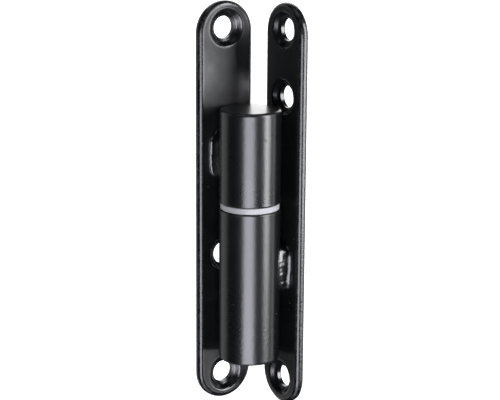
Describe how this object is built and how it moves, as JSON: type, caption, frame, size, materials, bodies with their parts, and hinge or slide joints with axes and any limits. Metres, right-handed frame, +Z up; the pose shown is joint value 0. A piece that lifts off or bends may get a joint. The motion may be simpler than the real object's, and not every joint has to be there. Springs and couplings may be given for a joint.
{
  "type": "lift-off hinge",
  "caption": "Screw-on lift-off hinge with slim round-ended leaves, countersunk holes and a welded, turned knuckle barrel on a fixed pin with a thrust washer.",
  "frame": {"origin": "middle of the frame leaf's back face, the face that is screwed to the frame", "axes": "+Z up along the pin, in the direction the door half lifts off; +X across the frame leaf to its outer edge; +Y out of the frame leaf's back, into the frame"},
  "size_m": [0.0198, 0.0198, 0.1006],
  "materials": {
    "coat": "semi-gloss black powder coat",
    "washer": "bright satin zinc plate",
    "pin": "turned steel, lightly greased"
  },
  "bodies": {
    "frame_side": {"frame_leaf": "coat", "lower_knuckle": "coat", "hinge_pin": "pin", "lower_weld_outer": "coat", "lower_weld_inner": "coat"},
    "washer": {"thrust_washer": "washer"},
    "door_side": {"door_leaf": "coat", "upper_knuckle": "coat", "upper_weld_outer": "coat", "upper_weld_inner": "coat"}
  },
  "joints": [
    {"name": "swing", "type": "hinge", "parent": "frame_side", "child": "washer", "pos_m": [-0.002, -0.0102, 0], "axis": [0, 0, 1], "range_deg": [-22, 170]},
    {"name": "lift_off", "type": "slide", "parent": "washer", "child": "door_side", "axis": [0, 0, 1], "range_m": [0, 0.042]}
  ]
}
